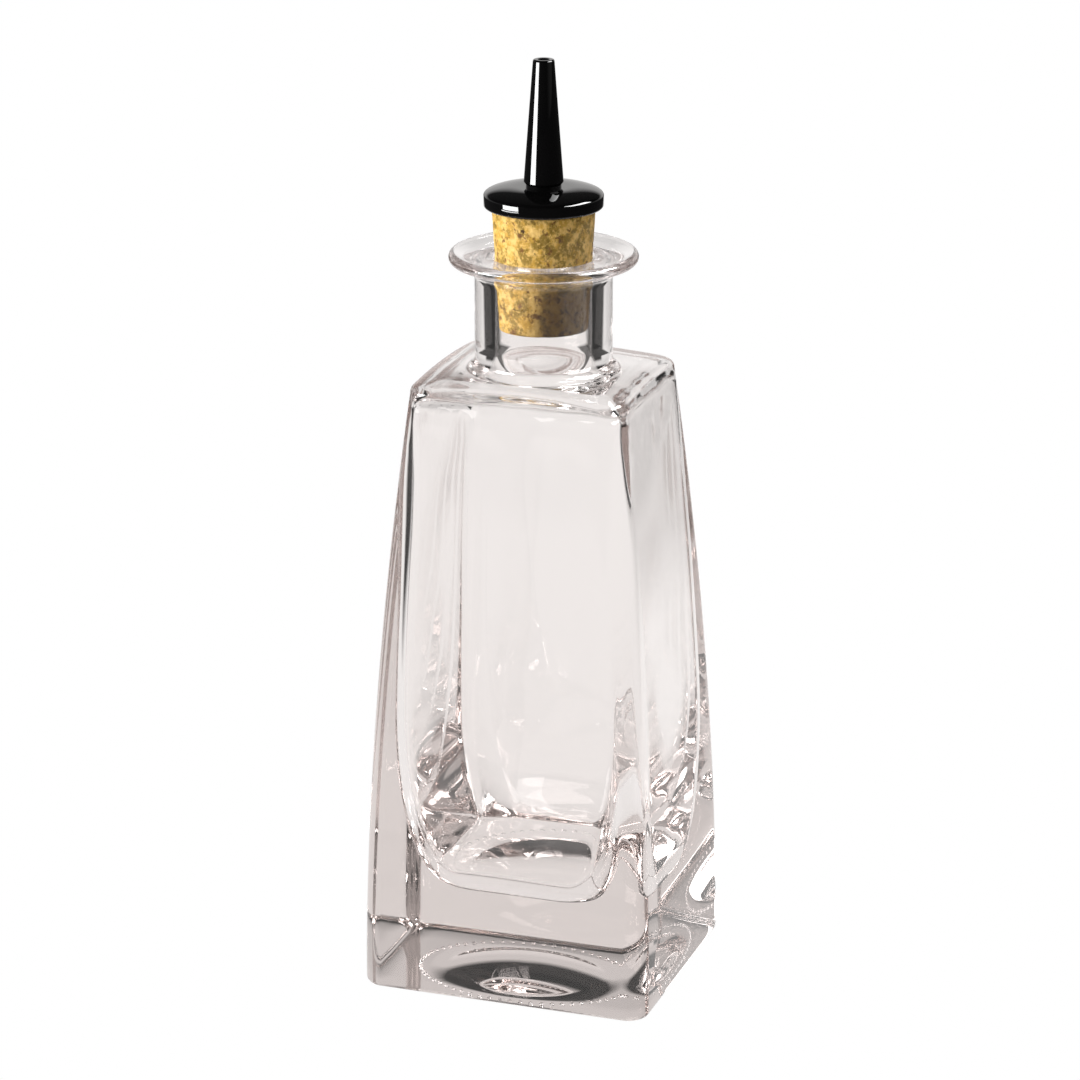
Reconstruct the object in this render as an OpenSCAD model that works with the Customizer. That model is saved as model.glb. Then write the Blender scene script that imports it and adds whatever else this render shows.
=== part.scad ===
// Bitters bottle: a tapered clear glass bottle, closed by a cork that carries a dasher nozzle.
// Millimetres, +Z up, +X to the right and -Y towards the front face.
// The origin is on the surface that the bottle stands on, at the middle of its base.

/* [Glass body] */
// Width of the base, left to right
base_w = 57; // [50:0.5:66]
// Depth of the base, front to back
base_d = 51.2; // [46:0.2:60]
// Width of the body at the shoulder
shoulder_w = 41.5; // [38:0.5:50]
// Depth of the body at the shoulder
shoulder_d = 37.4; // [35:0.2:46]
// Height of the shoulder's middle, where the neck stands
shoulder_z = 119.7; // [100:0.1:140]
// How fast the sides draw in: 1 is a straight taper, more keeps the foot upright
taper_power = 1.78; // [1:0.01:2.5]
// Radius of the upright corners
corner_r = 4.2; // [2.5:0.1:6]
// Radius of the edge round the underside
foot_edge_r = 1.2; // [0.5:0.1:2.5]
// Radius of the edge round the shoulder
shoulder_edge_r = 1.3; // [0.5:0.1:2.5]
// Radius of the shoulder's dome
shoulder_dome_r = 180; // [120:5:400]

/* [Glass wall] */
// Thickness of the side walls at the shoulder
wall_top_t = 1.2; // [1:0.1:2.5]
// How much thicker the side walls grow down to the foot
wall_growth = 4.0; // [1:0.1:5]
// Thickness of the glass under the contents
floor_t = 19; // [10:0.5:26]
// Thickness of the glass at the shoulder
shoulder_t = 1.6; // [1.4:0.1:4]
// How far the contents' space draws in towards its floor
hollow_draw = 9; // [4:0.5:10]
// Height over which it draws in
hollow_draw_h = 36; // [20:1:50]
// Corner radius of the contents' space at its top
hollow_corner_r = 2.2; // [1.5:0.1:3]
// How much wider that radius gets within the top quarter
hollow_corner_wider = 2.0; // [0:0.1:3]
// How much wider it gets again down to the floor
hollow_corner_foot = 5.0; // [0:0.1:6]
// Radius of the hollow in the underside
punt_r = 17; // [10:0.5:20]
// Depth of that hollow
punt_h = 2.6; // [1:0.1:4]

/* [Neck] */
// Outer radius of the neck
neck_r = 12.9; // [12:0.1:14]
// Radius of the curve from neck to shoulder
neck_foot_r = 2.0; // [1.2:0.1:4]
// How much wider the bore gets at its foot
bore_flare = 4; // [2:0.1:4.5]
// Height over which it widens
bore_flare_h = 5.7; // [3:0.1:9]
// Outer radius of the lip
lip_r = 17.7; // [16:0.1:20]
// Thickness of the lip at its rim
lip_t = 2.2; // [1.5:0.1:4]
// Height of the bottle's mouth
mouth_z = 141.9; // [130:0.1:160]
// How deep the lip's top is dished
lip_dish = 0.9; // [0.2:0.1:1.2]

/* [Cork] */
// Radius of the cork's top
cork_top_r = 9.7; // [9.4:0.05:11]
// Length of the cork
cork_l = 22.6; // [16:0.1:24]
// How much of the cork stands above the mouth
cork_show = 8.3; // [5:0.1:12]
// Radius that the cork loses with each millimetre down
cork_taper = 0.062; // [0.03:0.002:0.08]

/* [Dasher] */
// Outer radius of the flange
flange_r = 11.15; // [10.5:0.05:13]
// Height of the flange's upright side
flange_side_h = 2.2; // [1.5:0.1:4]
// Rise of the flange's domed top
flange_dome_h = 1.6; // [0.5:0.1:3]
// Radius of the spout at its foot
spout_foot_r = 3.7; // [3:0.05:5]
// Radius of the spout at its tip
spout_tip_r = 2.0; // [1.6:0.05:2.4]
// Height of the spout above the flange
spout_h = 23.8; // [15:0.1:40]
// Radius of the hole that a dash leaves by
spout_bore_r = 1.1; // [0.6:0.05:1.3]
// Outer radius of the stem that goes through the cork
stem_r = 4.0; // [3.6:0.05:4.5]
// Radius of the passage in the stem
stem_bore_r = 2.6; // [2.3:0.05:3]
// Radius of the small hole that meters a dash
orifice_r = 0.7; // [0.4:0.05:1]
// Length of the metering plug
plug_l = 5; // [3:0.5:8]

/* [Hidden] */

fit_gap = 0.05;
overlap = 0.25;
round_fn = 96;
arc_steps = 8;
corner_steps = 5;
side_steps = 4;
wall_levels = 14;
hollow_levels = 18;

cap_r = neck_r + neck_foot_r - 0.3;
hollow_foot_z = floor_t;
hollow_top_z = shoulder_z - shoulder_t;
hollow_edge_r = 4.5;
bore_reach = 3;
neck_root = 2;
cut_past = 1;
punt_ball_r = (punt_r * punt_r + punt_h * punt_h) / (2 * punt_h);

cork_top_z = mouth_z + cork_show;
cork_foot_z = cork_top_z - cork_l;
cork_foot_r = cork_top_r - cork_taper * cork_l;
cork_chamfer = 0.5;

// The cork touches the bore first where the mouth's rounded edge ends
mouth_r = 1.2;
seat_z = mouth_z - lip_dish - mouth_r;
bore_r = cork_top_r - cork_taper * (cork_top_z - seat_z) + fit_gap;

flange_z = cork_top_z + fit_gap;
flange_side_z = flange_z + flange_side_h;
flange_top_z = flange_side_z + flange_dome_h;
flange_edge = 0.5;
flange_flat_r = 4.6;
stem_foot_z = cork_foot_z + 1;
tenon_r = stem_bore_r - fit_gap;
tenon_l = 6;
spout_groove_h = 0.5;
spout_groove_r = spout_foot_r - 0.4;
spout_bevel_h = 0.4;
tip_edge = 0.3;
funnel_h = 1.8;

// Points along an arc from angle a0 to a1, both ends included
function arc(x, y, rx, ry, a0, a1, n = arc_steps) =
    [for (i = [0:n]) let (a = a0 + (a1 - a0) * i / n) [x + rx * cos(a), y + ry * sin(a)]];

// Share of the whole taper that is reached at height z
function draw_in(z) = pow(max(z, 0) / shoulder_z, taper_power);
function half_w(z) = (base_w - (base_w - shoulder_w) * draw_in(z)) / 2;
function half_d(z) = (base_d - (base_d - shoulder_d) * draw_in(z)) / 2;

// How far the shoulder has dropped at a point, below its middle
function dome_drop(p) = max(0, (p.x * p.x + p.y * p.y - cap_r * cap_r) / (2 * shoulder_dome_r));

// A rectangle with rounded corners as points, with the sides cut into steps
function corner(sx, sy, hx, hy, r, a0) =
    arc(sx * (hx - r), sy * (hy - r), r, r, a0, a0 + 90, corner_steps);
function side(p, q) = [for (i = [1:side_steps - 1]) p + (q - p) * i / side_steps];
function outline(hx, hy, r) =
    let (a = corner(1, 1, hx, hy, r, 0), b = corner(-1, 1, hx, hy, r, 90),
         c = corner(-1, -1, hx, hy, r, 180), d = corner(1, -1, hx, hy, r, 270),
         e = corner_steps)
    concat(a, side(a[e], b[0]), b, side(b[e], c[0]), c, side(c[e], d[0]), d, side(d[e], a[0]));

// The outline's points moved in to a circle, each along its own line to the middle
function to_circle(points, r) = [for (p = points) p * r / norm(p)];

// Outline points lifted to a level that bows with the shoulder's dome by the share given
function lift(points, z, bow) = [for (p = points) [p.x, p.y, z - bow * dome_drop(p)]];

// A closed solid round the Z axis, through a list of rings that have the same number of points
module loft(rings) {
    n = len(rings[0]);
    last = len(rings) - 1;
    foot = (last + 1) * n;
    top = foot + 1;
    ends = [[0, 0, rings[0][0].z], [0, 0, rings[last][0].z]];
    sides = [for (k = [0:last - 1]) for (i = [0:n - 1])
        let (j = (i + 1) % n, a = k * n + i, b = k * n + j)
        for (t = [[a, a + n, b + n], [a, b + n, b]]) t];
    caps = [for (i = [0:n - 1]) let (j = (i + 1) % n)
        for (t = [[foot, i, j], [top, last * n + j, last * n + i]]) t];
    polyhedron(concat([for (r = rings) for (p = r) p], ends), concat(sides, caps), convexity = 6);
}

module body_outside() {
    edge_z = shoulder_z - shoulder_edge_r;
    foot = [for (i = [0:3]) let (a = i * 30, inset = foot_edge_r * (1 - sin(a)))
        lift(outline(half_w(0) - inset, half_d(0) - inset, corner_r - inset),
             foot_edge_r * (1 - cos(a)), 0)];
    walls = [for (i = [1:wall_levels])
        let (z = foot_edge_r + (edge_z - foot_edge_r) * i / wall_levels)
        lift(outline(half_w(z), half_d(z), corner_r), z, pow(i / wall_levels, 4))];
    edge = [for (i = [1:3]) let (a = i * 30, inset = shoulder_edge_r * (1 - cos(a)))
        lift(outline(half_w(edge_z) - inset, half_d(edge_z) - inset, corner_r - inset),
             edge_z + shoulder_edge_r * sin(a), 1)];
    rim = outline(half_w(edge_z) - shoulder_edge_r, half_d(edge_z) - shoulder_edge_r,
                  corner_r - shoulder_edge_r);
    inner = to_circle(rim, cap_r);
    dome = [for (i = [1:3]) lift([for (k = [0:len(rim) - 1]) rim[k] + (inner[k] - rim[k]) * i / 3],
                                 shoulder_z, 1)];
    loft(concat(foot, walls, edge, dome));
}

// Thickness of the side walls at height z, with what the hollow has drawn in towards its floor
function hollow_inset(z) =
    let (u = max(0, (hollow_foot_z + hollow_draw_h - z) / hollow_draw_h))
    wall_top_t + wall_growth * (1 - z / shoulder_z) + hollow_draw * (1 - sqrt(max(0, 1 - u * u)));

// Corner radius of the hollow at height z
function hollow_corner(z) =
    let (t = min(1, 4 * (hollow_top_z - z) / hollow_top_z), d = max(0, 1 - z / hollow_top_z))
    hollow_corner_r + hollow_corner_wider * t * t * (3 - 2 * t) + hollow_corner_foot * d * d * d;

module body_inside() {
    edge_z = hollow_top_z - hollow_edge_r;
    walls = [for (i = [0:hollow_levels])
        let (s = 1 - cos(90 * i / hollow_levels), z = hollow_foot_z + (edge_z - hollow_foot_z) * s,
             inset = hollow_inset(z))
        lift(outline(half_w(z) - inset, half_d(z) - inset, hollow_corner(z)), z, 0)];
    edge = [for (i = [1:4]) let (a = i * 22.5, inset = hollow_inset(edge_z) + hollow_edge_r * (1 - cos(a)))
        lift(outline(half_w(edge_z) - inset, half_d(edge_z) - inset, hollow_corner(edge_z)),
             edge_z + hollow_edge_r * sin(a), 0)];
    loft(concat(walls, edge));
}

module neck_outside() {
    lip_under = mouth_z - lip_t;
    under_r = 3;
    rotate_extrude($fn = round_fn)
        polygon(concat(
            [[0, shoulder_z - neck_root], [neck_r + neck_foot_r, shoulder_z - neck_root]],
            arc(neck_r + neck_foot_r, shoulder_z - overlap + neck_foot_r,
                neck_foot_r, neck_foot_r, 270, 180),
            arc(neck_r + under_r, lip_under - under_r, under_r, under_r, 180, 100),
            arc(lip_r - lip_t / 2, mouth_z - lip_t / 2, lip_t / 2, lip_t / 2, -80, 90),
            [[0, mouth_z]]));
}

module neck_inside() {
    dish_r = lip_r - lip_t;
    rotate_extrude($fn = round_fn)
        polygon(concat(
            [[0, hollow_top_z - bore_reach], [bore_r + bore_flare, hollow_top_z - bore_reach]],
            arc(bore_r + bore_flare, hollow_top_z - overlap + bore_flare_h, bore_flare, bore_flare_h, 270, 180),
            arc(bore_r + mouth_r, mouth_z - lip_dish - mouth_r, mouth_r, mouth_r, 180, 90, 4),
            [[dish_r - 2, mouth_z - lip_dish], [dish_r, mouth_z + 0.05], [dish_r, mouth_z + 1],
             [0, mouth_z + 1]]));
}

module glass_bottle() {
    color([0.91, 0.89, 0.88, 0.4])
    difference() {
        union() {
            body_outside();
            neck_outside();
        }
        body_inside();
        neck_inside();
        translate([0, 0, punt_h - punt_ball_r]) sphere(r = punt_ball_r, $fn = round_fn);
    }
}

module cork_stopper() {
    c = cork_chamfer;
    in_r = stem_r + fit_gap;
    color([0.78, 0.6, 0.36])
    rotate_extrude($fn = round_fn)
        polygon([[in_r, cork_foot_z], [cork_foot_r - c, cork_foot_z],
                 [cork_foot_r + c * cork_taper, cork_foot_z + c],
                 [cork_top_r - c * cork_taper, cork_top_z - c], [cork_top_r - c, cork_top_z],
                 [in_r, cork_top_z]]);
}

module dasher_flange() {
    e = flange_edge;
    color([0.05, 0.05, 0.05])
    rotate_extrude($fn = round_fn)
        polygon(concat(
            [[stem_bore_r, stem_foot_z], [stem_r - e, stem_foot_z], [stem_r, stem_foot_z + e],
             [stem_r, flange_z], [flange_r - e, flange_z], [flange_r, flange_z + e]],
            arc(flange_flat_r, flange_side_z, flange_r - flange_flat_r, flange_dome_h, 0, 90),
            [[stem_bore_r, flange_top_z]]));
}

module dasher_spout() {
    foot_z = flange_top_z + spout_groove_h + spout_bevel_h;
    tip_z = flange_top_z + spout_h;
    color([0.05, 0.05, 0.05])
    rotate_extrude($fn = round_fn)
        polygon([[spout_bore_r, flange_top_z - tenon_l], [tenon_r, flange_top_z - tenon_l],
                 [tenon_r, flange_top_z], [spout_groove_r, flange_top_z],
                 [spout_groove_r, flange_top_z + spout_groove_h], [spout_foot_r, foot_z],
                 [spout_tip_r, tip_z - tip_edge], [spout_tip_r - tip_edge, tip_z],
                 [spout_bore_r, tip_z]]);
}

module dash_restrictor() {
    color([0.1, 0.1, 0.1])
    translate([0, 0, stem_foot_z + 0.5])
    difference() {
        cylinder(r = stem_bore_r - fit_gap, h = plug_l, $fn = round_fn);
        translate([0, 0, -cut_past]) cylinder(r = orifice_r, h = plug_l + 2 * cut_past, $fn = round_fn);
        translate([0, 0, plug_l + cut_past - funnel_h])
            cylinder(r1 = orifice_r, r2 = orifice_r + funnel_h, h = funnel_h, $fn = round_fn);
    }
}

glass_bottle();
cork_stopper();
dasher_flange();
dasher_spout();
dash_restrictor();
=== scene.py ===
import math

import bmesh
import bpy
from mathutils import Euler, Matrix, Vector, noise


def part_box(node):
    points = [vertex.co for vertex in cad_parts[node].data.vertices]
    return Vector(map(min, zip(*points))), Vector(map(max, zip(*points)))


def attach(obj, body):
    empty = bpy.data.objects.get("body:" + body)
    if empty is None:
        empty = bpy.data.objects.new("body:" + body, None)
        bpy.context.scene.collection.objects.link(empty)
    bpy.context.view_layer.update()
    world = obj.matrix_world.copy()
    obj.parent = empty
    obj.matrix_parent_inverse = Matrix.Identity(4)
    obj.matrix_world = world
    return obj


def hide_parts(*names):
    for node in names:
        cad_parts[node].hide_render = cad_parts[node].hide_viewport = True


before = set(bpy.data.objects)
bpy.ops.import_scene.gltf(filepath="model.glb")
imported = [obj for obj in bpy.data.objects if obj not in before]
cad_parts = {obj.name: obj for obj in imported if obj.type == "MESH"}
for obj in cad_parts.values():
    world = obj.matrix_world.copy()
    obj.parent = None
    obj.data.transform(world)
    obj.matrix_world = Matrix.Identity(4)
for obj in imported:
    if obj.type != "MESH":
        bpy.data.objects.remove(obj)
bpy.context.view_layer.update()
MM = 0.001

# Sizes taken from the frame
GLASS_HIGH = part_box("glass_bottle")[1]
CORK_LOW, CORK_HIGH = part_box("cork_stopper")
FLANGE_LOW, FLANGE_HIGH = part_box("dasher_flange")
SPOUT_LOW, SPOUT_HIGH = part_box("dasher_spout")
BASE_HALF_W = GLASS_HIGH.x
BASE_HALF_D = GLASS_HIGH.y
MOUTH_Z = GLASS_HIGH.z

# Sizes of the glass, in metres, as in the part's source. First the outside of the body
SHOULDER_HALF_W = 20.75 * MM
SHOULDER_HALF_D = 18.7 * MM
SHOULDER_Z = 119.7 * MM
TAPER_POWER = 1.78
CORNER_R = 4.2 * MM
FOOT_EDGE_R = 1.2 * MM
SHOULDER_EDGE_R = 1.3 * MM
DOME_R = 180 * MM
# The side's rings take on the dome's bow near their top, by this power of the height
BOW_POWER = 4
PUNT_R = 17 * MM
PUNT_H = 2.6 * MM

# The hollow in the body
WALL_TOP_T = 1.2 * MM
WALL_GROWTH = 4.0 * MM
FLOOR_Z = 19 * MM
HOLLOW_TOP_Z = SHOULDER_Z - 1.6 * MM
HOLLOW_DRAW = 9 * MM
HOLLOW_DRAW_H = 36 * MM
HOLLOW_CORNER_R = 2.2 * MM
HOLLOW_CORNER_WIDER = 2.0 * MM
HOLLOW_CORNER_FOOT = 5.0 * MM
# The share of the hollow's height, from its top, in which its corners widen
HOLLOW_CORNER_TOP = 0.25
HOLLOW_EDGE_R = 4.5 * MM

# The neck, its lip and its bore
NECK_R = 12.9 * MM
NECK_FOOT_R = 2.0 * MM
CAP_R = NECK_R + NECK_FOOT_R
BORE_R = 9.105 * MM
BORE_FLARE = 4 * MM
BORE_FLARE_H = 5.7 * MM
LIP_R = 17.7 * MM
LIP_T = 2.2 * MM
LIP_UNDER_R = 3 * MM
LIP_DISH = 0.9 * MM
LIP_DISH_INSET = 2 * MM
MOUTH_R = 1.2 * MM
# Fillets stop at this many degrees, just short of the flat that they run into
ALMOST_LEVEL = 88

# The blown inside wavers slowly all over, and faster near the shoulder: how far, how many waves for
# each millimetre, and where in the noise
WAVER = 0.22 * MM
WAVER_PER_MM = 0.07
WAVER_UPRIGHT = 0.6
WAVER_PLACE = Vector((3, 1, 8))
WAVER_TOP = 0.35 * MM
WAVER_TOP_H = 16 * MM
WAVER_TOP_PER_MM = 0.3
WAVER_TOP_PLACE = Vector((5, 2, 6))

# The ring of small dimples in the underside
DIMPLES = 64
DIMPLE_RING_R = 21.4 * MM
DIMPLE_R = 0.55 * MM
DIMPLE_LOW = 0.2 * MM

# How many steps each stretch of the glass takes
CORNER_STEPS = 12
FLAT_STEPS = 24
PUNT_STEPS = 12
UNDERSIDE_STEPS = 4
EDGE_STEPS = 6
SIDE_STEPS = 60
SHOULDER_STEPS = 8
LIP_STEPS = 14
FLARE_STEPS = 12
CEILING_STEPS = 5
HOLLOW_STEPS = 70
FLOOR_STEPS = 9
# Edges that turn by more degrees than this stay sharp
GLASS_SHARP = 50
TURNED_SHARP = 35


def arc(x, y, r, a0, a1, n=10):
    """Points along an arc in the profile plane, from angle a0 to a1 in degrees."""
    angles = [math.radians(a0 + (a1 - a0) * i / n) for i in range(n + 1)]
    return [(x + r * math.cos(a), y + r * math.sin(a)) for a in angles]


def mesh_object(name, verts, faces):
    mesh = bpy.data.meshes.new(name)
    mesh.from_pydata(verts, [], faces)
    mesh.update()
    obj = bpy.data.objects.new(name, mesh)
    bpy.context.scene.collection.objects.link(obj)
    return obj


def rings_to_mesh(name, rings, closed_ends):
    """A skin through rings of the same number of points, with a point at each end or joined end to end."""
    n = len(rings[0])
    last = (len(rings) - 1) * n
    verts = [p for ring in rings for p in ring]
    bands = [(a, a + n) for a in range(0, last, n)]
    if not closed_ends:
        bands.append((last, 0))
    faces = [(a + i, a + (i + 1) % n, b + (i + 1) % n, b + i) for a, b in bands for i in range(n)]
    if closed_ends:
        for base, flip in ((0, True), (last, False)):
            centre = len(verts)
            verts.append((0.0, 0.0, verts[base][2]))
            for i in range(n):
                j = (i + 1) % n
                faces.append((centre, base + j, base + i) if flip else (centre, base + i, base + j))
    return mesh_object(name, verts, faces)


def shade(obj, angle):
    for p in obj.data.polygons:
        p.use_smooth = True
    obj.data.set_sharp_from_angle(angle=math.radians(angle))


def lathe(name, profile, segments):
    """A turned solid: the profile is a closed loop of (radius, height) points round a bore."""
    turns = [2 * math.pi * i / segments for i in range(segments)]
    rings = [[(r * math.cos(t), r * math.sin(t), z) for t in turns] for r, z in profile]
    obj = rings_to_mesh(name, rings, closed_ends=False)
    shade(obj, TURNED_SHARP)
    return obj


# The glass: one skin that runs from the middle of the underside, up the outside, over the lip,
# down the bore and round the inside to the middle of its floor


def draw_in(z):
    """How far the body has drawn in at a height, from 0 at the foot to 1 at the shoulder."""
    return (max(z, 0.0) / SHOULDER_Z) ** TAPER_POWER


def half_w(z):
    return BASE_HALF_W - (BASE_HALF_W - SHOULDER_HALF_W) * draw_in(z)


def half_d(z):
    return BASE_HALF_D - (BASE_HALF_D - SHOULDER_HALF_D) * draw_in(z)


def outline(hx, hy, r):
    """A rectangle with rounded corners, as points round the axis."""
    points = []
    for k, (sx, sy) in enumerate(((1, 1), (-1, 1), (-1, -1), (1, -1))):
        corner = arc(sx * (hx - r), sy * (hy - r), r, 90 * k, 90 * k + 90, CORNER_STEPS)
        points.append([Vector(p) for p in corner])
    out = []
    for k in range(4):
        out += points[k]
        p, q = points[k][-1], points[(k + 1) % 4][0]
        out += [p.lerp(q, i / FLAT_STEPS) for i in range(1, FLAT_STEPS)]
    return out


def circle_like(points, r):
    """The points moved to a circle, each along its own line to the axis."""
    return [p.normalized() * r for p in points]


def dome_drop(p):
    """How far the domed shoulder has dropped at a point, below the neck's foot."""
    return max(0.0, (p.length_squared - CAP_R ** 2) / (2 * DOME_R))


def lift(points, z, bow=0.0):
    """A ring at a height, with a share of the dome's bow."""
    return [(p.x, p.y, z - bow * dome_drop(p)) for p in points]


def body_ring(size_z, inset, corner, z, bow=0.0):
    """A ring at height z of the body's size at height size_z, less an inset."""
    return lift(outline(half_w(size_z) - inset, half_d(size_z) - inset, corner), z, bow)


def blend_rings(a, b, z, steps, bow):
    """Rings that go from outline a, which is left out, to outline b."""
    rings = []
    for i in range(1, steps + 1):
        rings.append(lift([p.lerp(q, i / steps) for p, q in zip(a, b)], z, bow))
    return rings


def edge_angle(i):
    """The angle of a step in an edge's quarter turn."""
    return math.radians(90 / EDGE_STEPS * i)


def hollow_inset(z):
    """How far the hollow lies inside the body: the wall, and more where it draws in to its floor."""
    u = max(0.0, (FLOOR_Z + HOLLOW_DRAW_H - z) / HOLLOW_DRAW_H)
    wall = WALL_TOP_T + WALL_GROWTH * (1 - z / SHOULDER_Z)
    return wall + HOLLOW_DRAW * (1 - math.sqrt(max(0.0, 1 - u * u)))


def hollow_corner(z):
    """The radius of the hollow's corners: tight at the top, and wide where the wall is thick."""
    top = min(1.0, (HOLLOW_TOP_Z - z) / (HOLLOW_CORNER_TOP * HOLLOW_TOP_Z))
    depth = max(0.0, 1 - z / HOLLOW_TOP_Z)
    wider = HOLLOW_CORNER_WIDER * top * top * (3 - 2 * top)
    return HOLLOW_CORNER_R + wider + HOLLOW_CORNER_FOOT * depth ** 3


def outside_rings():
    """The rings of the outside, from the underside to the neck's foot, and the shoulder's rim."""
    foot = outline(BASE_HALF_W - FOOT_EDGE_R, BASE_HALF_D - FOOT_EDGE_R, CORNER_R - FOOT_EDGE_R)
    ball = (PUNT_R ** 2 + PUNT_H ** 2) / (2 * PUNT_H)
    rings = []
    for i in range(1, PUNT_STEPS + 1):
        r = PUNT_R * i / PUNT_STEPS
        rings.append(lift(circle_like(foot, r), PUNT_H - ball + math.sqrt(ball ** 2 - r ** 2)))
    rings += blend_rings(circle_like(foot, PUNT_R), foot, 0.0, UNDERSIDE_STEPS, 0)
    for i in range(1, EDGE_STEPS + 1):
        inset = FOOT_EDGE_R * (1 - math.sin(edge_angle(i)))
        z = FOOT_EDGE_R * (1 - math.cos(edge_angle(i)))
        rings.append(body_ring(0.0, inset, CORNER_R - inset, z))
    edge_z = SHOULDER_Z - SHOULDER_EDGE_R
    for i in range(1, SIDE_STEPS + 1):
        z = FOOT_EDGE_R + (edge_z - FOOT_EDGE_R) * i / SIDE_STEPS
        rings.append(body_ring(z, 0.0, CORNER_R, z, (i / SIDE_STEPS) ** BOW_POWER))
    for i in range(1, EDGE_STEPS + 1):
        inset = SHOULDER_EDGE_R * (1 - math.cos(edge_angle(i)))
        z = edge_z + SHOULDER_EDGE_R * math.sin(edge_angle(i))
        rings.append(body_ring(edge_z, inset, CORNER_R - inset, z, 1))
    inset = SHOULDER_EDGE_R
    rim = outline(half_w(edge_z) - inset, half_d(edge_z) - inset, CORNER_R - inset)
    rings += blend_rings(rim, circle_like(rim, CAP_R), SHOULDER_Z, SHOULDER_STEPS, 1)
    return rings, rim


def neck_profile():
    """The neck's outside, the lip and the bore, from the shoulder up and back down."""
    lip_under = MOUTH_Z - LIP_T
    points = arc(CAP_R, SHOULDER_Z + NECK_FOOT_R, NECK_FOOT_R, 180 + ALMOST_LEVEL, 180)
    points += arc(NECK_R + LIP_UNDER_R, lip_under - LIP_UNDER_R, LIP_UNDER_R, 180, 100)
    points += arc(LIP_R - LIP_T / 2, MOUTH_Z - LIP_T / 2, LIP_T / 2, -80, 90, LIP_STEPS)
    points.append((LIP_R - LIP_T - LIP_DISH_INSET, MOUTH_Z - LIP_DISH))
    points += arc(BORE_R + MOUTH_R, MOUTH_Z - LIP_DISH - MOUTH_R, MOUTH_R, 90, 180)
    for i in range(FLARE_STEPS + 1):
        a = math.radians(180 + ALMOST_LEVEL * i / FLARE_STEPS)
        r = BORE_R + BORE_FLARE * (1 + math.cos(a))
        points.append((r, HOLLOW_TOP_Z + BORE_FLARE_H * (1 + math.sin(a))))
    return points


def uneven(ring, z):
    """The ring with its points moved out and in by the waver of the blown inside."""
    near_top = max(0.0, min(1.0, (z - SHOULDER_Z + WAVER_TOP_H) / WAVER_TOP_H))
    out = []
    for x, y, h in ring:
        p = Vector((x, y, h)) / MM
        slow = noise.noise(Vector((p.x, p.y, p.z * WAVER_UPRIGHT)) * WAVER_PER_MM + WAVER_PLACE)
        fast = noise.noise(p * WAVER_TOP_PER_MM + WAVER_TOP_PLACE)
        r = math.hypot(x, y)
        k = 1 + (WAVER * slow + WAVER_TOP * near_top * fast) / r
        out.append((x * k, y * k, h))
    return out


def inside_rings():
    """The rings of the hollow, from the bore's foot to the middle of the floor."""
    edge_z = HOLLOW_TOP_Z - HOLLOW_EDGE_R
    wall = hollow_inset(edge_z)
    inset = wall + HOLLOW_EDGE_R
    corner = hollow_corner(edge_z)
    rim = outline(half_w(edge_z) - inset, half_d(edge_z) - inset, corner)
    cap = circle_like(rim, BORE_R + BORE_FLARE)
    rings = blend_rings(cap, rim, HOLLOW_TOP_Z, CEILING_STEPS, 0)
    for i in range(EDGE_STEPS - 1, -1, -1):
        inset = wall + HOLLOW_EDGE_R * (1 - math.cos(edge_angle(i)))
        z = edge_z + HOLLOW_EDGE_R * math.sin(edge_angle(i))
        rings.append(uneven(body_ring(edge_z, inset, corner, z), z))
    for i in range(1, HOLLOW_STEPS + 1):
        z = FLOOR_Z + (edge_z - FLOOR_Z) * (1 - math.sin(math.radians(90 * i / HOLLOW_STEPS)))
        inset = hollow_inset(z)
        rings.append(uneven(body_ring(z, inset, hollow_corner(z), z), z))
    floor = outline(half_w(FLOOR_Z) - inset, half_d(FLOOR_Z) - inset, hollow_corner(FLOOR_Z))
    for i in range(1, FLOOR_STEPS):
        rings.append(lift([p * (1 - i / FLOOR_STEPS) for p in floor], FLOOR_Z))
    return rings


def cut_dimples(obj):
    """Cuts the ring of dimples into the underside."""
    shape = bmesh.new()
    for i in range(DIMPLES):
        a = 2 * math.pi * (i + 0.5) / DIMPLES
        place = Matrix.Translation((DIMPLE_RING_R * math.cos(a), DIMPLE_RING_R * math.sin(a), -DIMPLE_LOW))
        bmesh.ops.create_icosphere(shape, subdivisions=2, radius=DIMPLE_R, matrix=place)
    mesh = bpy.data.meshes.new("dimple_cutter")
    shape.to_mesh(mesh)
    shape.free()
    cutter = bpy.data.objects.new("dimple_cutter", mesh)
    bpy.context.scene.collection.objects.link(cutter)
    cut = obj.modifiers.new("dimples", "BOOLEAN")
    cut.operation = "DIFFERENCE"
    cut.solver = "EXACT"
    cut.object = cutter
    bpy.context.view_layer.update()
    done = obj.evaluated_get(bpy.context.evaluated_depsgraph_get())
    obj.data = bpy.data.meshes.new_from_object(done)
    obj.modifiers.clear()
    bpy.data.objects.remove(cutter)


def glass_skin():
    rings, rim = outside_rings()
    for r, z in neck_profile():
        rings.append(lift(circle_like(rim, r), z))
    rings += inside_rings()
    obj = rings_to_mesh("bottle_glass", rings, closed_ends=True)
    cut_dimples(obj)
    shade(obj, GLASS_SHARP)
    return obj


# The cork

CORK_HOLE_R = 4.05 * MM
CORK_TAPER = 0.062
CORK_CHAMFER = 0.5 * MM
CORK_STEPS = 90
# The rings of the side that the chamfers at its ends take the place of
CORK_END_STEPS = 3
CORK_SEGMENTS = 288

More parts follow.
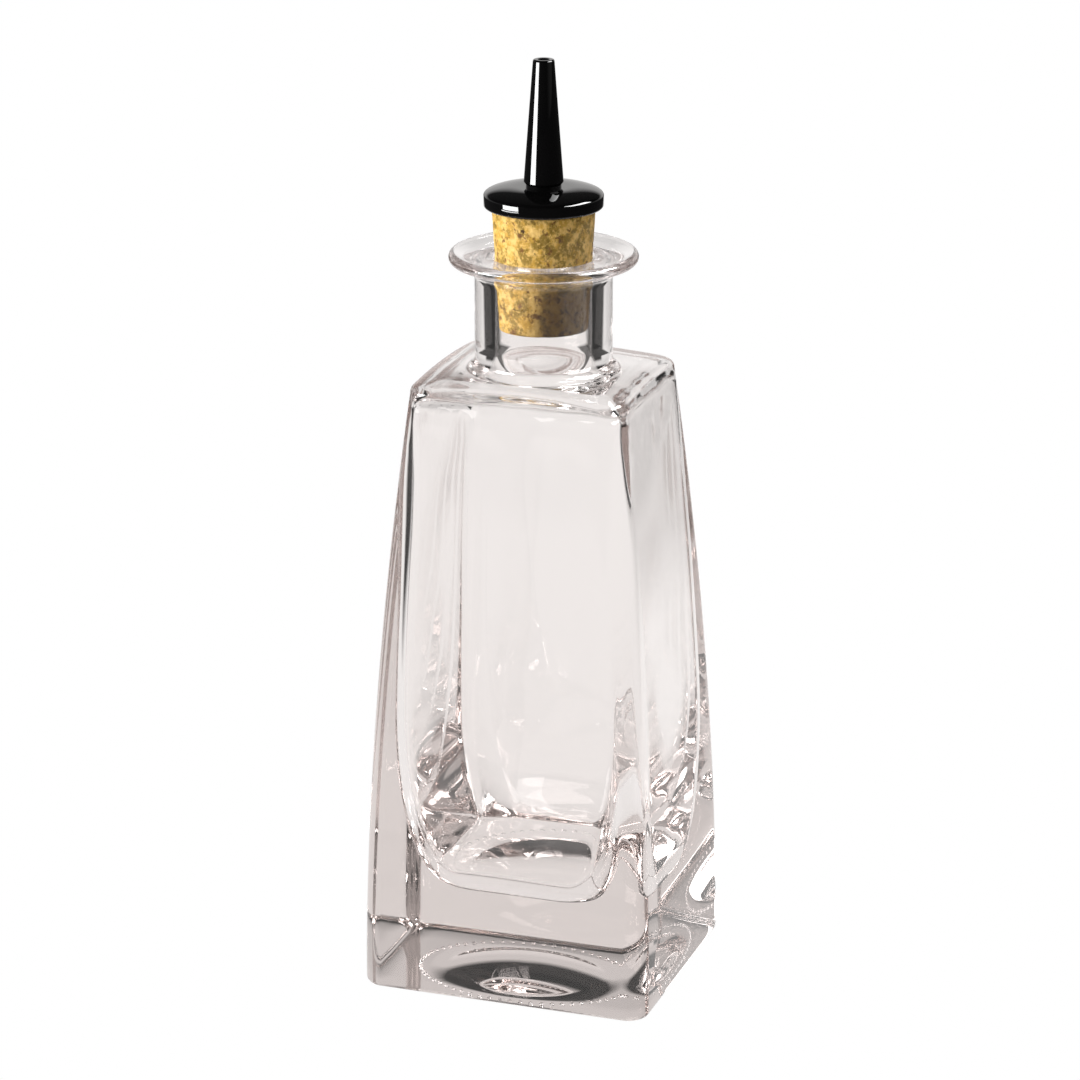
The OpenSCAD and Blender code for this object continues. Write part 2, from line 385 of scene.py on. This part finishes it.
# The wear of the cork's side: how deep, how many grains for each millimetre, the level of the noise
# at which it starts, and its share of the depth
CORK_ROUGH = 0.16 * MM
CORK_FLAT_R = 6 * MM
DENT_PER_MM, DENT_SHARE = 0.45, 0.35
CRACK_PER_MM, CRACK_LEVEL, CRACK_SHARE = 1.15, 0.12, 1.6
CRACK_UPRIGHT = 1.3
CRACK_PLACE = Vector((7, 3, 5))
PIT_PER_MM, PIT_LEVEL, PIT_SHARE = 2.1, 0.3, 2.6
PIT_PLACE = Vector((2, 9, 4))


def cork_profile():
    in_r, c = CORK_HOLE_R, CORK_CHAMFER
    low, high = CORK_LOW.z, CORK_HIGH.z
    top_r = CORK_HIGH.x
    foot_r = top_r - CORK_TAPER * (high - low)
    points = [(in_r, low), (in_r + (foot_r - c - in_r) * 0.5, low)]
    points += arc(foot_r - c, low + c, c, -90, -10, 5)
    for i in range(CORK_END_STEPS, CORK_STEPS + 1 - CORK_END_STEPS):
        points.append((foot_r + (top_r - foot_r) * i / CORK_STEPS, low + (high - low) * i / CORK_STEPS))
    points += arc(top_r - c, high - c, c, 10, 90, 5)
    points += [(in_r + (top_r - c - in_r) * 0.5, high), (in_r, high)]
    return points


def wear_cork(obj):
    """Small dents and pits, cut inwards only, so that the cork keeps its seat in the neck."""
    for v in obj.data.vertices:
        r = Vector((v.co.x, v.co.y, 0)).length
        if r < CORK_FLAT_R:
            continue
        p = v.co / MM
        dent = 0.5 + 0.5 * noise.noise(p * DENT_PER_MM)
        upright = Vector((p.x, p.y, p.z * CRACK_UPRIGHT))
        crack = max(0.0, noise.noise(upright * CRACK_PER_MM + CRACK_PLACE) - CRACK_LEVEL)
        pit = max(0.0, noise.noise(p * PIT_PER_MM + PIT_PLACE) - PIT_LEVEL)
        depth = CORK_ROUGH * (DENT_SHARE * dent + CRACK_SHARE * crack + PIT_SHARE * pit)
        v.co.x *= 1 - depth / r
        v.co.y *= 1 - depth / r
    obj.data.update()


# The dasher: a domed disc with a hollow stem, and a nozzle whose tenon plugs into it

STEM_BORE_R = 2.6 * MM
STEM_R = 4.0 * MM
FLANGE_SEAT_GAP = 0.05 * MM
FLANGE_SIDE_H = 2.2 * MM
FLANGE_EDGE_R = 0.5 * MM
FLANGE_FLAT_R = 4.6 * MM
FLANGE_DOME_STEPS = 14
FLANGE_SEGMENTS = 192

SPOUT_BORE_R = 1.1 * MM
SPOUT_TENON_R = 2.55 * MM
SPOUT_GROOVE_DEPTH = 0.4 * MM
SPOUT_GROOVE_H = 0.5 * MM
SPOUT_BEVEL = 0.1 * MM
SPOUT_BEVEL_LOW = 0.85 * MM
SPOUT_BEVEL_HIGH = 1.0 * MM
SPOUT_TIP_R = 2.0 * MM
SPOUT_TIP_EDGE_R = 0.3 * MM
SPOUT_SEGMENTS = 128


def flange_profile():
    r, edge = FLANGE_HIGH.x, FLANGE_EDGE_R
    low, top = FLANGE_LOW.z, FLANGE_HIGH.z
    seat = CORK_HIGH.z + FLANGE_SEAT_GAP
    points = [(STEM_BORE_R, low), (STEM_R - edge, low), (STEM_R, low + edge), (STEM_R, seat)]
    points += arc(r - edge, seat + edge, edge, -90, 0, 5)
    side_z = seat + FLANGE_SIDE_H
    rise = top - seat - FLANGE_SIDE_H
    for i in range(FLANGE_DOME_STEPS + 1):
        a = math.radians(90 * i / FLANGE_DOME_STEPS)
        points.append((FLANGE_FLAT_R + (r - FLANGE_FLAT_R) * math.cos(a), side_z + rise * math.sin(a)))
    points.append((STEM_BORE_R, top))
    return points


def spout_profile():
    low, tip = SPOUT_LOW.z, SPOUT_HIGH.z
    top = FLANGE_HIGH.z
    foot_r, edge = SPOUT_HIGH.x, SPOUT_TIP_EDGE_R
    groove_r = foot_r - SPOUT_GROOVE_DEPTH
    points = [(SPOUT_BORE_R, low), (SPOUT_TENON_R, low), (SPOUT_TENON_R, top)]
    points += [(groove_r, top), (groove_r, top + SPOUT_GROOVE_H)]
    points += [(foot_r - SPOUT_BEVEL, top + SPOUT_BEVEL_LOW), (foot_r, top + SPOUT_BEVEL_HIGH)]
    points += arc(SPOUT_TIP_R - edge, tip - edge, edge, 0, 90, 5)
    points.append((SPOUT_BORE_R, tip))
    return points


# Nodes

# The places of the colours among a Mix node's sockets
MIX_A, MIX_B, MIX_RESULT = 6, 7, 2


def feed(tree, value, socket):
    """Feeds a socket with another node's output or with a plain value."""
    if isinstance(value, bpy.types.NodeSocket):
        tree.links.new(value, socket)
    else:
        socket.default_value = value


def math_node(tree, operation, *values):
    node = tree.nodes.new("ShaderNodeMath")
    node.operation = operation
    for value, socket in zip(values, node.inputs):
        feed(tree, value, socket)
    return node.outputs[0]


def vector_node(tree, operation, source, other):
    node = tree.nodes.new("ShaderNodeVectorMath")
    node.operation = operation
    feed(tree, source, node.inputs[0])
    feed(tree, other, node.inputs[1])
    return node.outputs


def noise_node(tree, place, scale, detail, rough, stretch=None):
    """Noise in the piece's own space, with its grain given in grains for each metre."""
    if stretch:
        shape = tree.nodes.new("ShaderNodeMapping")
        shape.inputs["Scale"].default_value = stretch
        tree.links.new(place, shape.inputs["Vector"])
        place = shape.outputs[0]
    node = tree.nodes.new("ShaderNodeTexNoise")
    node.inputs["Scale"].default_value = scale
    node.inputs["Detail"].default_value = detail
    node.inputs["Roughness"].default_value = rough
    tree.links.new(place, node.inputs["Vector"])
    return node.outputs["Fac"]


def step_node(tree, source, low, high, to_low=0.0, to_high=1.0, kind="SMOOTHSTEP"):
    """A value that goes from one level to another while its source goes from low to high."""
    node = tree.nodes.new("ShaderNodeMapRange")
    node.interpolation_type = kind
    node.inputs["From Min"].default_value = low
    node.inputs["From Max"].default_value = high
    node.inputs["To Min"].default_value = to_low
    node.inputs["To Max"].default_value = to_high
    tree.links.new(source, node.inputs["Value"])
    return node.outputs[0]


def mix_colours(tree, factor, a, b, blend="MIX"):
    """Mixes two colours, each a plain colour or another node's output."""
    node = tree.nodes.new("ShaderNodeMix")
    node.data_type = "RGBA"
    node.blend_type = blend
    feed(tree, factor, node.inputs[0])
    for k, colour in ((MIX_A, a), (MIX_B, b)):
        feed(tree, colour + (1,) if isinstance(colour, tuple) else colour, node.inputs[k])
    return node.outputs[MIX_RESULT]


def bump_node(tree, height, strength, distance):
    node = tree.nodes.new("ShaderNodeBump")
    node.inputs["Strength"].default_value = strength
    node.inputs["Distance"].default_value = distance
    tree.links.new(height, node.inputs["Height"])
    return node.outputs[0]


def ramp(tree, source, stops, limit):
    """A brightness by angle in degrees: the source goes from 0 at -limit to 1 at +limit."""
    node = tree.nodes.new("ShaderNodeValToRGB")
    node.color_ramp.interpolation = "LINEAR"
    marks = node.color_ramp.elements
    for k, (x, v) in enumerate(stops):
        place = (x + limit) / (2 * limit)
        mark = marks[k] if k < 2 else marks.new(place)
        mark.position = place
        mark.color = (v, v, v, 1)
    tree.links.new(source, node.inputs[0])
    return node.outputs[0]


# Materials

# Nearly all of a noise lies between these levels
NOISE_LOW, NOISE_HIGH = 0.3, 0.7

GLASS_SURFACE = (0.99, 0.975, 0.97, 1)
# The thick base takes more of the light than the thin walls: about this much is left of it after
# each stretch of glass, and the density says how many such stretches a metre holds
GLASS_DEPTH = (0.942, 0.929, 0.925, 1)
GLASS_DEPTH_PER_M = 100.0
GLASS_IOR = 1.5

CORK_PALE = (0.86, 0.56, 0.17)
CORK_GOLD = (0.58, 0.33, 0.045)
CORK_OLIVE = (0.25, 0.15, 0.012)
CORK_BROWN = (0.15, 0.055, 0.006)
CORK_DARK = (0.045, 0.018, 0.007)
# Grains for each metre, octaves, roughness and stretch
CORK_NOISES = {
    "patches": (520, 5, 0.62),
    "fine": (1700, 4, 0.6),
    "streaks": (520, 5, 0.6, (1, 1, 0.75)),
    "flecks": (620, 5, 0.65, (1, 1, 0.85)),
    "pores": (700, 3, 0.5, (0.8, 0.8, 1.2)),
}
# The levels of the patches between which pale cork turns golden
CORK_TURN = (0.4, 0.58)
# What lies over that: the noise, the levels between which it comes up, its most cover and its colour
CORK_LAYERS = (
    ("streaks", 0.47, 0.6, 0.95, CORK_OLIVE),
    ("fine", 0.5, 0.66, 0.7, CORK_PALE),
    ("flecks", 0.55, 0.65, 0.9, CORK_BROWN),
    ("pores", 0.69, 0.75, 0.9, CORK_DARK),
)
CORK_ROUGHNESS = (0.62, 0.9)
CORK_SPECULAR = 0.3
CORK_BUMP = 0.7
CORK_BUMP_H = 0.25 * MM
FINE_IN_BUMP = 0.6
PORE_IN_BUMP = -0.8
# Painted shade that darkens the cork's lower part inside the neck, below an edge that wanders
CORK_NECK_SHADE = (0.15, 0.125, 0.06)
NECK_SHADE_Z = MOUTH_Z - 3.6 * MM
NECK_SHADE_SOFT = 2.8 * MM
NECK_SHADE_WANDER = 3 * MM
# The painted shade is left off the side that the left light falls on: shares of the cork's radius there at
# which the shade ends
LIT_SIDE = (-0.656, -0.755, 0)
CORK_LOW_R = 8.3 * MM
SHADE_FULL_TO, SHADE_GONE_FROM = 0.4, 0.95

PLASTIC_DARK = (0.0012, 0.0012, 0.0014)
PLASTIC_PALE = (0.003, 0.0028, 0.0028)
PLASTIC_FLOW = (160, 3, 0.5, (1, 1, 0.5))
PLASTIC_FINE = (2600, 2, 0.5)
PLASTIC_ROUGHNESS = (0.03, 0.065)
PLASTIC_IOR = 1.5
# Moulded plastic is never quite flat: its highlights waver a little
PLASTIC_BUMP = 0.1
PLASTIC_BUMP_H = 0.03 * MM
PLASTIC_FINE_IN_BUMP = 0.01


def new_material(name):
    mat = bpy.data.materials.new(name)
    mat.use_nodes = True
    return mat, mat.node_tree, mat.node_tree.nodes["Principled BSDF"]


def glass_material():
    mat, tree, bsdf = new_material("clear_glass_look")
    bsdf.inputs["Base Color"].default_value = GLASS_SURFACE
    bsdf.inputs["Roughness"].default_value = 0.0
    bsdf.inputs["IOR"].default_value = GLASS_IOR
    bsdf.inputs["Transmission Weight"].default_value = 1.0
    depth = tree.nodes.new("ShaderNodeVolumeAbsorption")
    depth.inputs["Color"].default_value = GLASS_DEPTH
    depth.inputs["Density"].default_value = GLASS_DEPTH_PER_M
    tree.links.new(depth.outputs[0], tree.nodes["Material Output"].inputs["Volume"])
    return mat


def painted_shade_share(tree, place, patches):
    """Where painted shade darkens the cork: below the shade's edge, and not on its lit side."""
    split = tree.nodes.new("ShaderNodeSeparateXYZ")
    tree.links.new(place, split.inputs[0])
    height = math_node(tree, "MULTIPLY_ADD", patches, NECK_SHADE_WANDER, split.outputs["Z"])
    edge_z = NECK_SHADE_Z + NECK_SHADE_WANDER / 2
    below = step_node(tree, height, edge_z - NECK_SHADE_SOFT, edge_z + NECK_SHADE_SOFT, 1.0, 0.0)
    side = vector_node(tree, "DOT_PRODUCT", place, LIT_SIDE)["Value"]
    shaded_side = step_node(tree, side, SHADE_FULL_TO * CORK_LOW_R, SHADE_GONE_FROM * CORK_LOW_R, 1.0, 0.0)
    return math_node(tree, "MULTIPLY", below, shaded_side)


def cork_material():
    mat, tree, bsdf = new_material("cork_look")
    place = tree.nodes.new("ShaderNodeTexCoord").outputs["Object"]
    grain = {name: noise_node(tree, place, *values) for name, values in CORK_NOISES.items()}
    colour = mix_colours(tree, step_node(tree, grain["patches"], *CORK_TURN), CORK_PALE, CORK_GOLD)
    covers = {}
    for name, low, high, most, layer in CORK_LAYERS:
        covers[name] = step_node(tree, grain[name], low, high, 0.0, most)
        colour = mix_colours(tree, covers[name], colour, layer)
    # Painted shade: the cork inside the neck is darkened, except on its lit side
    neck_shade = painted_shade_share(tree, place, grain["patches"])
    colour = mix_colours(tree, neck_shade, colour, CORK_NECK_SHADE, "MULTIPLY")
    rough = step_node(tree, grain["fine"], NOISE_LOW, NOISE_HIGH, *CORK_ROUGHNESS)
    height = math_node(tree, "MULTIPLY_ADD", grain["fine"], FINE_IN_BUMP, grain["patches"])
    height = math_node(tree, "MULTIPLY_ADD", covers["pores"], PORE_IN_BUMP, height)
    tree.links.new(colour, bsdf.inputs["Base Color"])
    tree.links.new(rough, bsdf.inputs["Roughness"])
    tree.links.new(bump_node(tree, height, CORK_BUMP, CORK_BUMP_H), bsdf.inputs["Normal"])
    bsdf.inputs["Specular IOR Level"].default_value = CORK_SPECULAR
    return mat


def plastic_material():
    mat, tree, bsdf = new_material("black_plastic_look")
    place = tree.nodes.new("ShaderNodeTexCoord").outputs["Object"]
    flow = noise_node(tree, place, *PLASTIC_FLOW)
    fine = noise_node(tree, place, *PLASTIC_FINE)
    rough = step_node(tree, flow, NOISE_LOW, NOISE_HIGH, *PLASTIC_ROUGHNESS)
    height = math_node(tree, "MULTIPLY_ADD", fine, PLASTIC_FINE_IN_BUMP, flow)
    tree.links.new(mix_colours(tree, flow, PLASTIC_DARK, PLASTIC_PALE), bsdf.inputs["Base Color"])
    tree.links.new(rough, bsdf.inputs["Roughness"])
    tree.links.new(bump_node(tree, height, PLASTIC_BUMP, PLASTIC_BUMP_H), bsdf.inputs["Normal"])
    bsdf.inputs["IOR"].default_value = PLASTIC_IOR
    return mat


def dress(obj, mat, body, slot, *nodes):
    obj.data.materials.append(mat)
    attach(obj, body)
    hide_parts(*nodes)


glass = glass_skin()
dress(glass, glass_material(), "bottle", "clear_glass", "glass_bottle")
# The cork in the neck is lit as if the glass weren't there
glass.visible_shadow = False
glass.visible_diffuse = False

cork = lathe("cork", cork_profile(), CORK_SEGMENTS)
wear_cork(cork)
dress(cork, cork_material(), "stopper", "cork", "cork_stopper")

plastic = plastic_material()
flange = lathe("dasher_disc", flange_profile(), FLANGE_SEGMENTS)
dress(flange, plastic, "dasher", "black_plastic", "dasher_flange")
spout = lathe("dasher_nozzle", spout_profile(), SPOUT_SEGMENTS)
dress(spout, plastic, "dasher", "black_plastic", "dasher_spout")
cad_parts["dash_restrictor"].data.materials.clear()
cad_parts["dash_restrictor"].data.materials.append(plastic)


# Stage, lights and camera

CAMERA_AZIMUTH = 18.97
CAMERA_ELEVATION = 17.95
CAMERA_DISTANCE = 795.5 * MM
CAMERA_TARGET = Vector((0, 0, 90 * MM))
# How far the camera looks past its target, in degrees
CAMERA_YAW = -0.05
CAMERA_PITCH = -0.32
CAMERA_LENS = 140.1
CAMERA_SENSOR_W = 36
CAMERA_CLIP = (0.01, 100)

# Brightness of the studio round the bottle, by angle from the camera: 0 is at the camera, 90 is to
# its right and 180 is straight behind the bottle
AROUND = [(-180, 1.0), (-146, 1.0), (-140, 0.03), (-116, 0.03), (-106, 0.55), (-60, 0.65), (0, 0.65),
          (60, 0.65), (106, 0.55), (116, 0.03), (140, 0.03), (146, 1.0), (180, 1.0)]
# The same above the horizon, and the share of the way to it by elevation
AROUND_UPPER = [(-180, 0.85), (-70, 0.85), (-50, 0.6), (0, 0.6), (50, 0.6), (70, 0.85), (180, 0.85)]
UPPER = [(-90, 0.0), (5, 0.0), (14, 1.0), (90, 1.0)]
# What both are multiplied by, by elevation
ABOVE = [(-90, 1.0), (23, 1.0), (31, 0.03), (60, 0.03), (70, 1.0), (90, 1.0)]
# As it is mirrored in what is polished, where dark flags keep black plastic black
AROUND_MIRROR = [(-180, 1.0), (-150, 1.0), (-130, 0.3), (-60, 0.2), (-30, 0.03), (30, 0.03),
                 (60, 0.2), (130, 0.3), (150, 1.0), (180, 1.0)]
UPPER_MIRROR = [(-90, 1.0), (14, 1.0), (21, 0.04), (90, 0.04)]
# Colour of the studio as the glass sees it
STUDIO_COLOUR = (0.95, 0.935, 0.925)
# Brightness of the studio on surfaces that scatter light
SOFT_LIGHT = 0.44

# The white floor. Behind the bottle only a strip of it is bright. In front it is bright all over, but
# dimmer far from the bottle. What is polished mirrors the strip alone, which ends in front too.
# The camera sees plain white everywhere.
SHEET_HALF_W = 0.21
SHEET_BACK = 0.05
SHEET_FRONT = 0.16
SHEET_FRONT_FAR = 0.36
SHEET_SOFT = 0.03
BEYOND_SHEET = 0.04
FAR_IN_FRONT = 0.4
FLOOR_GAP = 0.2 * MM
FLOOR_HALF = 4.0

# The glowing panels: name, azimuth from the camera, elevation, distance, width, height, strength,
# which light paths see it (through glass, mirrored or from dull surfaces), and the height that it
# faces on the bottle's axis
CARD_Z = 0.1
CARDS = (
    ("left_softbox", -65, 8, 1.0, 0.78, 1.3, 4.2, "glass", CARD_Z),
    ("right_softbox", 85, 45, 1.0, 0.9, 0.4, 12, "glass", CARD_Z),
    ("left_strip", -65, 0, 0.25, 0.15, 0.078, 26, "gloss", 0.143),
    ("left_spot", -65, 0, 0.1, 0.066, 0.003, 20, "gloss", 0.129),
    ("right_strip", 85, 45, 1.0, 0.9, 0.4, 26, "gloss", CARD_Z),
    ("left_fill", -75, 15, 1.0, 0.7, 0.9, 9, "dull", CARD_Z),
)

# Light that is reflected many times inside the thick glass still gets out of it
LIGHT_BOUNCES = 32


def direction(azimuth, elevation):
    """The way from the bottle to a place round it, given by angles in degrees."""
    a, e = math.radians(azimuth), math.radians(elevation)
    return Vector((math.sin(a) * math.cos(e), -math.cos(a) * math.cos(e), math.sin(e)))


def flat_panel(name, half_x, half_y, z):
    x, y = half_x, half_y
    return mesh_object(name, [(-x, -y, z), (x, -y, z), (x, y, z), (-x, y, z)], [(0, 1, 2, 3)])


def glow_material(name):
    mat = bpy.data.materials.new(name)
    mat.use_nodes = True
    tree = mat.node_tree
    tree.nodes.clear()
    glow = tree.nodes.new("ShaderNodeEmission")
    tree.links.new(glow.outputs[0], tree.nodes.new("ShaderNodeOutputMaterial").inputs[0])
    return mat, tree, glow


def as_seen(tree, place):
    """The X, Y and Z of a place or direction, turned so that the camera looks along Y."""
    turn = tree.nodes.new("ShaderNodeVectorRotate")
    turn.rotation_type = "Z_AXIS"
    turn.inputs["Angle"].default_value = -math.radians(CAMERA_AZIMUTH)
    tree.links.new(place, turn.inputs["Vector"])
    split = tree.nodes.new("ShaderNodeSeparateXYZ")
    tree.links.new(turn.outputs[0], split.inputs[0])
    return split.outputs


def plain_to_camera(tree, level, mirror):
    """Plain white for the camera, even light on dull surfaces, and a level each for glass and mirrors."""
    path = tree.nodes.new("ShaderNodeLightPath").outputs
    seen = mix_colours(tree, path["Is Reflection Ray"], level, mirror)
    tinted = vector_node(tree, "MULTIPLY", seen, STUDIO_COLOUR)["Vector"]
    even = mix_colours(tree, path["Is Diffuse Ray"], tinted, (SOFT_LIGHT,) * 3)
    return mix_colours(tree, path["Is Camera Ray"], even, (1.0, 1.0, 1.0))


def world_light():
    world = bpy.data.worlds.new("studio")
    bpy.context.scene.world = world
    world.use_nodes = True
    tree = world.node_tree
    way = as_seen(tree, tree.nodes.new("ShaderNodeTexCoord").outputs["Generated"])
    angle = math_node(tree, "ARCTAN2", way["X"], math_node(tree, "MULTIPLY", way["Y"], -1.0))
    turn = math_node(tree, "MULTIPLY_ADD", angle, 1 / (2 * math.pi), 0.5)
    height = math_node(tree, "ARCSINE", way["Z"])
    rise = math_node(tree, "MULTIPLY_ADD", height, 1 / math.pi, 0.5)
    around, around_upper, around_mirror = [
        ramp(tree, turn, stops, 180) for stops in (AROUND, AROUND_UPPER, AROUND_MIRROR)]
    upper, above, upper_mirror = [ramp(tree, rise, stops, 90) for stops in (UPPER, ABOVE, UPPER_MIRROR)]
    level = math_node(tree, "MULTIPLY", mix_colours(tree, upper, around, around_upper), above)
    mirror = math_node(tree, "MULTIPLY", around_mirror, upper_mirror)
    tree.links.new(plain_to_camera(tree, level, mirror), tree.nodes["Background"].inputs["Color"])
    tree.nodes["Background"].inputs["Strength"].default_value = 1.0


def sheet_edge(tree, source, edge, way, beyond):
    """Full brightness on one side of an edge, and the brightness beyond it on the other."""
    low, high = edge - way * SHEET_SOFT, edge + way * SHEET_SOFT
    return step_node(tree, source, low, high, beyond, 1.0, "LINEAR")


def floor_stage():
    floor = flat_panel("floor", FLOOR_HALF, FLOOR_HALF, -FLOOR_GAP)
    mat, tree, glow = glow_material("floor_look")
    place = as_seen(tree, tree.nodes.new("ShaderNodeNewGeometry").outputs["Position"])
    strip = sheet_edge(tree, math_node(tree, "ABSOLUTE", place["X"]), SHEET_HALF_W, -1, BEYOND_SHEET)
    in_front = sheet_edge(tree, place["Y"], SHEET_BACK, -1, BEYOND_SHEET)
    to_front = sheet_edge(tree, place["Y"], -SHEET_FRONT, 1, BEYOND_SHEET)
    to_far = sheet_edge(tree, place["Y"], -SHEET_FRONT_FAR, 1, FAR_IN_FRONT)
    level = math_node(tree, "MINIMUM", math_node(tree, "MAXIMUM", strip, in_front), to_far)
    mirror = math_node(tree, "MINIMUM", strip, to_front)
    tree.links.new(plain_to_camera(tree, level, mirror), glow.inputs["Color"])
    floor.data.materials.append(mat)


def card(name, azimuth, elevation, distance, width, height, strength, seen_by, target_z):
    """A glowing panel that faces the bottle and that the camera doesn't see."""
    out = direction(CAMERA_AZIMUTH + azimuth, elevation)
    panel = flat_panel(name, width / 2, height / 2, 0)
    turn = out.to_track_quat("-Z", "Y").to_matrix().to_4x4()
    panel.matrix_world = Matrix.Translation(out * distance + Vector((0, 0, target_z))) @ turn
    mat, tree, glow = glow_material(name + "_look")
    glow.inputs["Strength"].default_value = strength
    panel.data.materials.append(mat)
    panel.visible_camera = False
    panel.visible_diffuse = seen_by == "dull"
    panel.visible_glossy = seen_by == "gloss"
    panel.visible_transmission = seen_by == "glass"
    panel.visible_shadow = False


def make_camera():
    back = direction(CAMERA_AZIMUTH, CAMERA_ELEVATION)
    data = bpy.data.cameras.new("camera")
    data.lens = CAMERA_LENS
    data.sensor_width = CAMERA_SENSOR_W
    data.clip_start, data.clip_end = CAMERA_CLIP
    cam = bpy.data.objects.new("camera", data)
    bpy.context.scene.collection.objects.link(cam)
    turn = (-back).to_track_quat("-Z", "Y").to_matrix()
    turn = turn @ Euler((math.radians(CAMERA_PITCH), -math.radians(CAMERA_YAW), 0)).to_matrix()
    cam.matrix_world = Matrix.Translation(CAMERA_TARGET + back * CAMERA_DISTANCE) @ turn.to_4x4()
    bpy.context.scene.camera = cam


floor_stage()
world_light()
for values in CARDS:
    card(*values)
make_camera()
bpy.context.scene.view_settings.view_transform = "Standard"
bpy.context.scene.cycles.max_bounces = LIGHT_BOUNCES
bpy.context.scene.cycles.transmission_bounces = LIGHT_BOUNCES
bpy.context.scene.cycles.glossy_bounces = LIGHT_BOUNCES
